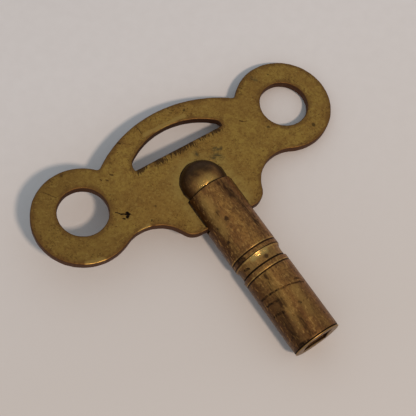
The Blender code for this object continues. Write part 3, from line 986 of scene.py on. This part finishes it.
def barrel_material():
    """Brown patina in lengthwise streaks with olive bands between; dirt and painted shade in the
    grooves, painted shade on the sides, painted highlights.
    """
    nodes = Nodes("aged_barrel_brass")
    grain, mottle, cloud = grain_and_mottle(nodes)
    x, y, z = (nodes.part(nodes.place, axis) for axis in "XYZ")
    turn = nodes.math("ARCTAN2", x, z)
    flat = nodes.tree.nodes.new("ShaderNodeCombineXYZ")
    nodes.put(flat.inputs[0], nodes.math("MULTIPLY", turn, LOWER_RADIUS / MM))
    nodes.put(flat.inputs[1], y)
    flat = flat.outputs[0]

    def ring(centre, half, soft=0.05):
        """A mask round the barrel at one height."""
        gap = nodes.math("ABSOLUTE", nodes.math("SUBTRACT", y, centre / MM))
        return nodes.spread(gap, half - soft, half + soft, 1.0, 0.0)

    def between(top, bottom):
        """A mask between two heights."""
        return nodes.math(
            "MULTIPLY", nodes.math("LESS_THAN", y, top / MM), nodes.math("GREATER_THAN", y, bottom / MM)
        )

    streaks = nodes.noise(
        nodes.stretched((0.62, 0.075, 0.62), 0.0, (2.0, 0.0, 1.0)), 1.0, 4.0, 0.6, 0.4
    )
    fine_streaks = nodes.noise(nodes.stretched((2.6, 0.36, 2.6)), 1.0, 4.0, 0.65, 0.4)
    colour = nodes.mix(nodes.spread(streaks, 0.40, 0.60), BARREL_GOLD, BARREL_BROWN)
    colour = nodes.mix(nodes.spread(cloud, 0.42, 0.62, 0.0, 0.45), colour, BARREL_CLOUD)
    colour = nodes.mix(nodes.spread(fine_streaks, 0.48, 0.66, 0.0, 0.6), colour, BARREL_STREAK)
    colour = nodes.mix(nodes.spread(mottle, 0.48, 0.64, 0.0, 0.5), colour, BARREL_MOTTLE)
    colour = nodes.mix(nodes.spread(grain, 0.47, 0.60, 0.0, 0.5), colour, BARREL_GRAIN)
    shaken_flat = nodes.wobbled(1.1, 0.9, flat)
    olive = nodes.most(*[nodes.stroke(shaken_flat, *unrolled(mark), 0.8) for mark in OLIVE_BANDS])
    colour = nodes.mix(nodes.math("MULTIPLY", olive, 0.6), colour, BARREL_OLIVE)
    on_neck = between(NECK_TOP_Y, NECK_BOTTOM_Y)
    colour = nodes.mix(nodes.math("MULTIPLY", on_neck, 0.45), colour, NECK_OLIVE)
    towards_mouth = nodes.spread(y, -34.5, -23.0, 0.45, 0.0)
    colour = nodes.mix(towards_mouth, colour, LOWER_BROWN)
    # painted shade: the barrel's sides are darkened, the left side more than the right
    left_side_shade = nodes.spread(x, -4.2, -2.6, 0.8, 0.0)
    right_side_shade = nodes.spread(x, 2.9, 4.3, 0.0, 0.5)
    colour = nodes.mix(nodes.most(left_side_shade, right_side_shade), colour, SIDE_SHADE_BROWN)

    speckle = nodes.noise(nodes.stretched((1.0, 0.8, 1.0), 0.0, (7.0, 3.0, 0.0)), 2.6, 5.0, 0.78)
    specks = nodes.spread(speckle, 0.585, 0.63)
    spots = nodes.specks(0.6, 0.34, nodes.wobbled(0.6, 2.0), 0.5)
    colour = nodes.mix(nodes.math("MULTIPLY", specks, 0.7), colour, BARREL_SPECKLE)
    colour = nodes.mix(nodes.math("MULTIPLY", spots, 0.75), colour, BARREL_SPOT)
    pale = nodes.noise(nodes.stretched((3.0, 1.1, 3.0), 0.0, (1.0, 8.0, 2.0)), 1.0, 3.0, 0.65)
    colour = nodes.mix(nodes.spread(pale, 0.54, 0.66, 0.0, 0.5), colour, BARREL_PALE)

    shaken = nodes.wobbled(0.5, 0.9, flat)
    dark = nodes.most(*[nodes.stroke(shaken, *unrolled(mark), 0.5) for mark in DARK_MARKS])
    bands = nodes.most(*[nodes.stroke(shaken_flat, *unrolled(mark), 0.95) for mark in DARK_BANDS])
    bands = nodes.math("MULTIPLY", bands, nodes.spread(fine_streaks, 0.38, 0.6, 0.35, 0.9))
    colour = nodes.mix(bands, colour, BAND_BLACK)
    broken = nodes.spread(grain, 0.40, 0.6, 0.9, 0.25)
    colour = nodes.mix(nodes.math("MULTIPLY", dark, broken), colour, MARK_BLACK)

    # the dome: brown below; near black above and at the sides, partly darker patina and partly painted
    # shade; gold beside the step on the lit side is a painted highlight
    on_dome = nodes.math("GREATER_THAN", y, STEP_Y / MM + 0.05)
    colour = nodes.mix(nodes.math("MULTIPLY", on_dome, 0.6), colour, DOME_BROWN)
    high = nodes.spread(nodes.math("MULTIPLY_ADD", mottle, 3.0, y), -3.9, -1.6)
    far = nodes.spread(nodes.math("ABSOLUTE", nodes.math("ADD", x, 0.6)), 1.9, 3.6)
    dome_dark_and_shade = nodes.math("MULTIPLY", nodes.most(high, far), on_dome)
    colour = nodes.mix(nodes.math("MULTIPLY", dome_dark_and_shade, 0.82), colour, DOME_DARK_AND_SHADE)
    # painted highlight: gold where the key light glints on the dome beside the step
    gleam = nodes.stroke(nodes.wobbled(0.7, 0.9, flat), *unrolled(DOME_GLEAM), 1.0)
    gleam = nodes.math("MULTIPLY", gleam, on_dome)
    # painted highlight: gold where the key light glints in the neck's hollow, laid on with the burrs
    neck_gleam = nodes.stroke(nodes.wobbled(0.3, 1.2, flat), *unrolled(NECK_GLEAM), 0.8)
    colour = nodes.mix(nodes.math("MULTIPLY", gleam, 0.75), colour, DOME_HIGHLIGHT_GOLD)

    # dirt and painted shade in the turned grooves; gold wear and painted highlight on the burrs beside
    # them and in the neck's hollow
    groove_dirt_and_shade = nodes.most(
        ring(STEP_Y + 0.03 * MM, 0.16), ring(UPPER_LINE_Y - 0.08 * MM, 0.14),
        ring(NECK_TOP_Y + 0.1 * MM, 0.09), ring(NECK_BOTTOM_Y, 0.17),
        ring(LOWER_LINE_Y - 0.06 * MM, 0.13), ring(MOUTH_LINE_Y, 0.13),
    )
    burr_wear_and_highlight = nodes.most(
        ring(UPPER_LINE_Y + 0.18 * MM, 0.07), ring(NECK_TOP_Y - 0.16 * MM, 0.10),
        ring(LOWER_LINE_Y + 0.18 * MM, 0.07),
    )
    burr_wear_and_highlight = nodes.math("MULTIPLY", burr_wear_and_highlight, nodes.spread(mottle, 0.35, 0.6, 0.8, 0.2))
    burr_wear_and_highlight = nodes.math("MAXIMUM", burr_wear_and_highlight, nodes.math("MULTIPLY", neck_gleam, 0.9))
    lip = nodes.math("LESS_THAN", y, MOUTH_LINE_Y / MM - 0.12)
    off_axis = nodes.math("SQRT", nodes.math("MULTIPLY_ADD", x, x, nodes.math("MULTIPLY", z, z)))
    end_face = nodes.math("MULTIPLY", lip, nodes.spread(off_axis, 4.05, 4.25, 1.0, 0.0))
    colour = nodes.mix(burr_wear_and_highlight, colour, BURR_GOLD_AND_HIGHLIGHT)
    colour = nodes.mix(nodes.math("MULTIPLY", lip, 0.6), colour, LIP_GOLD)
    colour = nodes.mix(nodes.math("MULTIPLY", end_face, 0.75), colour, END_FACE_BROWN)
    colour = nodes.mix(nodes.math("MULTIPLY", groove_dirt_and_shade, 0.92), colour, DIRT_AND_SHADE_BLACK)

    relief = nodes.bump(mottle, 0.02)
    relief = nodes.bump(fine_streaks, 0.016, relief)
    relief = nodes.bump(grain, 0.010, relief)
    rings = nodes.noise(nodes.stretched((0.1, 9.0, 0.1)), 1.0, 2.0, 0.6)
    relief = nodes.bump(rings, 0.008, relief)
    dug = nodes.math("SUBTRACT", 1.0, nodes.most(dark, specks))
    relief = nodes.bump(dug, 0.012, relief)
    rough = nodes.spread(grain, 0.3, 0.75, 0.36, 0.50)
    rough = nodes.math("MULTIPLY_ADD", nodes.most(specks, dark, groove_dirt_and_shade, bands), 0.25, rough)
    rough = nodes.math("MULTIPLY_ADD", nodes.most(gleam, neck_gleam), -0.24, rough)
    return nodes.finish(colour, rough, relief)


def fillet_material():
    """Thin brazing metal, darkened and dull."""
    nodes = Nodes("aged_braze")
    grain, mottle, _ = grain_and_mottle(nodes)
    colour = nodes.mix(nodes.spread(mottle, 0.38, 0.62), BRAZE_BROWN, BRAZE_DARK)
    colour = nodes.mix(nodes.spread(grain, 0.4, 0.7, 0.0, 0.6), colour, DIRT_AND_SHADE_BLACK)
    return nodes.finish(colour, nodes.spread(grain, 0.3, 0.7, 0.5, 0.65), nodes.bump(grain, 0.03))


def floor_material():
    """Plain pale paper, a little warmer and darker towards the mouth of the key."""
    nodes = Nodes("pale_floor")
    fibre = nodes.noise(nodes.place, 0.5, 3.0)
    colour = nodes.mix(nodes.spread(fibre, 0.2, 0.8), PAPER_DARK, PAPER_PALE)
    along = nodes.math("MULTIPLY_ADD", nodes.part(nodes.place, "X"), 0.35, nodes.part(nodes.place, "Y"))
    warm = nodes.spread(along, -34.0, 26.0, 1.0, 0.0, smooth=False)
    colour = nodes.mix(warm, colour, PAPER_WARM)
    nodes.shader.inputs["Specular IOR Level"].default_value = 0.15
    return nodes.finish(colour, 0.8, nodes.bump(fibre, 0.01), 0.0)


# Stage


def make_floor():
    bpy.ops.mesh.primitive_plane_add(size=FLOOR_SIZE, location=(0.0, 0.0, 0.0))
    floor = bpy.context.object
    floor.name = "floor"
    floor.data.materials.append(floor_material())


def aim(obj, target, roll=0.0):
    """Point an object's -Z at the target, its Y upwards, then turn it about its view."""
    look = (target - obj.location).to_track_quat("-Z", "Y").to_matrix().to_4x4()
    obj.matrix_world = Matrix.Translation(obj.location) @ look @ Matrix.Rotation(roll, 4, "Z")


def make_camera():
    camera = bpy.data.objects.new("camera", bpy.data.cameras.new("camera"))
    bpy.context.scene.collection.objects.link(camera)
    camera.location = CAMERA_PLACE
    camera.data.lens = CAMERA_LENS
    camera.data.clip_start = 0.01
    aim(camera, CAMERA_AIM, CAMERA_ROLL)
    bpy.context.scene.camera = camera


def make_lights():
    lamp = bpy.data.lights.new("key_light", "AREA")
    lamp.shape = "DISK"
    lamp.size = KEY_LIGHT_SIZE
    lamp.energy = KEY_LIGHT_POWER
    lamp.color = KEY_LIGHT_COLOUR
    key = bpy.data.objects.new("key_light", lamp)
    bpy.context.scene.collection.objects.link(key)
    key.location = KEY_LIGHT_FROM.normalized() * KEY_LIGHT_DISTANCE
    aim(key, Vector((0.0, 0.0, 0.0)))
    world = bpy.data.worlds.new("studio")
    world.use_nodes = True
    background = world.node_tree.nodes["Background"]
    background.inputs["Color"].default_value = SKY_COLOUR
    background.inputs["Strength"].default_value = SKY_STRENGTH
    bpy.context.scene.world = world
    bpy.context.scene.view_settings.view_transform = "Standard"


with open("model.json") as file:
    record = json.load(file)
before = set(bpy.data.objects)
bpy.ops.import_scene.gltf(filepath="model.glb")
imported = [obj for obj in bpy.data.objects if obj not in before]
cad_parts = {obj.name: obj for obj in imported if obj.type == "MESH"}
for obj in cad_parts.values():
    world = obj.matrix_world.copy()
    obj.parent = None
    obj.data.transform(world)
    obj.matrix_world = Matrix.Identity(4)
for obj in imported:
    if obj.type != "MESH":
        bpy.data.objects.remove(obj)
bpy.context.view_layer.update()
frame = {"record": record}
KEY_PLACE, KEY_ROLL = key_frame()

make_camera()
make_lights()
make_floor()

handle = make_plate()
handle.data.materials.append(plate_material())
barrel = make_barrel()
barrel.data.materials.clear()
barrel.data.materials.append(barrel_material())
front_fillet = make_fillet("front_braze_fillet", 1)
back_fillet = make_fillet("back_braze_fillet", -1)
braze = fillet_material()
for piece in (front_fillet, back_fillet):
    piece.data.materials.append(braze)

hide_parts("handle_plate")
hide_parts("barrel")
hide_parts("braze_seam_front")
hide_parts("braze_seam_back")
for piece in (handle, barrel, front_fillet, back_fillet):
    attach(piece, "root")
